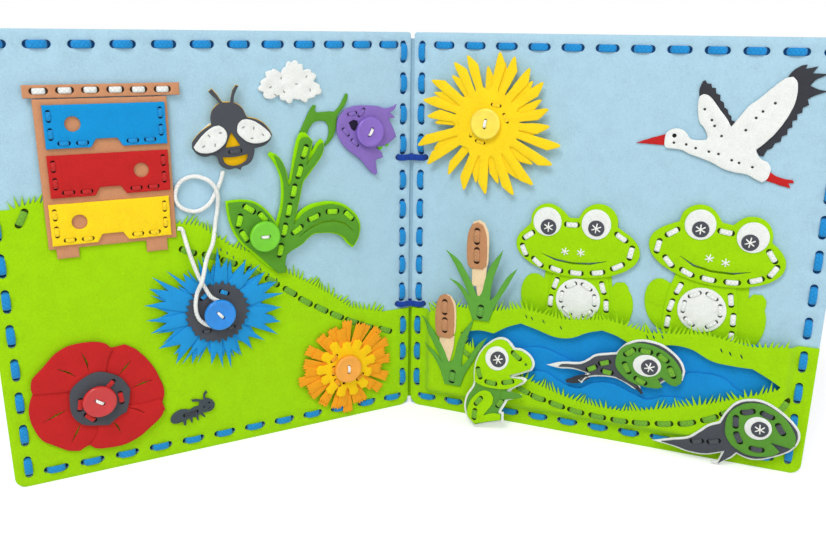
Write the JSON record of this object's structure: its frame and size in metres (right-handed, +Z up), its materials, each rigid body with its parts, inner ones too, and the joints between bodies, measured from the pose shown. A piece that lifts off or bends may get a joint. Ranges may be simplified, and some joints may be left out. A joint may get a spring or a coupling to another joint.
{
  "type": "quiet book",
  "caption": "Felt quiet book opened at one spread: two laced pages with pocket hive, button flowers, corded bee, pond pocket with frogs, sun and loose swimmers.",
  "frame": {"origin": "middle of the footprint of the opened book, on the table under its bottom edges", "axes": "+X along the opened spread from the left page to the right page, +Y from the reader's side towards the spine, +Z up along the spine"},
  "size_m": [0.3668, 0.0962, 0.2],
  "materials": {
    "sky_felt": "felt",
    "lime_felt": "felt",
    "blue_lace": "flat lace",
    "dark_blue_lace": "flat lace",
    "tan_felt": "felt",
    "blue_felt": "felt",
    "red_felt": "felt",
    "yellow_felt": "felt",
    "grey_felt": "felt",
    "amber_felt": "felt",
    "white_felt": "felt",
    "green_felt": "felt",
    "leaf_felt": "felt",
    "purple_felt": "felt",
    "orange_felt": "felt",
    "pond_felt": "felt",
    "white_cord": "twisted cord",
    "red_button": "gloss",
    "blue_button": "gloss",
    "orange_button": "gloss",
    "lilac_button": "gloss",
    "green_button": "gloss",
    "yellow_button": "gloss"
  },
  "bodies": {
    "left_page": {"left_sheet": "sky_felt", "grass": "lime_felt", "left_border_lace": "blue_lace", "hive_board": "tan_felt", "hive_roof": "tan_felt", "hive_upper_drawer": "blue_felt", "hive_middle_drawer": "red_felt", "hive_lower_drawer": "yellow_felt", "cloud": "white_felt", "ant": "grey_felt", "plant_backing": "lime_felt", "plant_front": "green_felt", "bell_stem": "green_felt", "bee_cord": "white_cord", "poppy_button": "red_button", "cornflower_button": "blue_button", "marigold_button": "orange_button", "bellflower_button": "lilac_button", "plant_button": "green_button", "upper_tie": "dark_blue_lace", "lower_tie": "dark_blue_lace"},
    "right_page": {"right_sheet": "sky_felt", "pond_water": "pond_felt", "middle_wave": "pond_felt", "front_wave": "pond_felt", "meadow": "lime_felt", "right_border_lace": "blue_lace", "stork_body": "white_felt", "stork_feathers": "grey_felt", "stork_beak": "red_felt", "stork_legs": "red_felt", "upper_cattail_leaves": "leaf_felt", "upper_cattail_head": "tan_felt", "lower_cattail_leaves": "leaf_felt", "lower_cattail_head": "tan_felt", "sun_button": "yellow_button"},
    "poppy": {"poppy_petals": "red_felt", "poppy_centre": "grey_felt"},
    "cornflower": {"cornflower_petals": "blue_felt", "cornflower_centre": "grey_felt"},
    "marigold": {"marigold_petals": "orange_felt", "marigold_centre": "yellow_felt"},
    "bellflower_bloom": {"bellflower": "purple_felt"},
    "sun": {"sun_rays": "yellow_felt", "sun_disc": "yellow_felt"},
    "bee": {"bee_wings": "white_felt", "bee_backing": "amber_felt", "bee_body": "grey_felt"},
    "left_frog": {"left_frog_body": "lime_felt", "left_frog_head": "lime_felt", "left_frog_belly": "white_felt"},
    "right_frog": {"right_frog_body": "lime_felt", "right_frog_head": "lime_felt", "right_frog_belly": "white_felt"},
    "pond_tadpole": {"pond_tadpole_backing": "white_felt", "pond_tadpole_body": "green_felt"},
    "front_tadpole": {"front_tadpole_backing": "white_felt", "front_tadpole_body": "green_felt"},
    "froglet": {"froglet_backing": "white_felt", "froglet_body": "lime_felt"}
  },
  "joints": [
    {"name": "page_fold", "type": "hinge", "parent": "left_page", "child": "right_page", "pos_m": [0, 0.04136, 0.1], "axis": [0, 0, 1], "range_deg": [-88, 50], "deforming": ["upper_tie", "lower_tie"]},
    {"name": "poppy_turn", "type": "hinge", "parent": "left_page", "child": "poppy", "pos_m": [-0.14768, -0.02585, 0.0373], "axis": [0.4226, -0.9063, 0], "continuous": true},
    {"name": "cornflower_turn", "type": "hinge", "parent": "left_page", "child": "cornflower", "pos_m": [-0.0962, -0.00185, 0.071], "axis": [0.4226, -0.9063, 0], "continuous": true},
    {"name": "marigold_turn", "type": "hinge", "parent": "left_page", "child": "marigold", "pos_m": [-0.03603, 0.02621, 0.03], "axis": [0.4226, -0.9063, 0], "continuous": true},
    {"name": "bellflower_turn", "type": "hinge", "parent": "left_page", "child": "bellflower_bloom", "pos_m": [-0.02307, 0.03225, 0.1525], "axis": [0.4226, -0.9063, 0], "range_deg": [-25, 25]},
    {"name": "sun_turn", "type": "hinge", "parent": "right_page", "child": "sun", "pos_m": [0.0372, 0.02566, 0.1577], "axis": [-0.4226, -0.9063, 0], "continuous": true},
    {"name": "bee_lift", "type": "slide", "parent": "left_page", "child": "bee", "axis": [0.4226, -0.9063, 0], "range_m": [0, 0.05]},
    {"name": "left_frog_pull", "type": "slide", "parent": "right_page", "child": "left_frog", "axis": [0, 0, 1], "range_m": [0, 0.036]},
    {"name": "right_frog_pull", "type": "slide", "parent": "right_page", "child": "right_frog", "axis": [0, 0, 1], "range_m": [0, 0.036]},
    {"name": "pond_tadpole_lift", "type": "slide", "parent": "right_page", "child": "pond_tadpole", "axis": [-0.4226, -0.9063, 0], "range_m": [0, 0.05]},
    {"name": "front_tadpole_lift", "type": "slide", "parent": "right_page", "child": "front_tadpole", "axis": [-0.4226, -0.9063, 0], "range_m": [0, 0.05]},
    {"name": "froglet_lift", "type": "slide", "parent": "right_page", "child": "froglet", "axis": [-0.4226, -0.9063, 0], "range_m": [0, 0.05]}
  ]
}
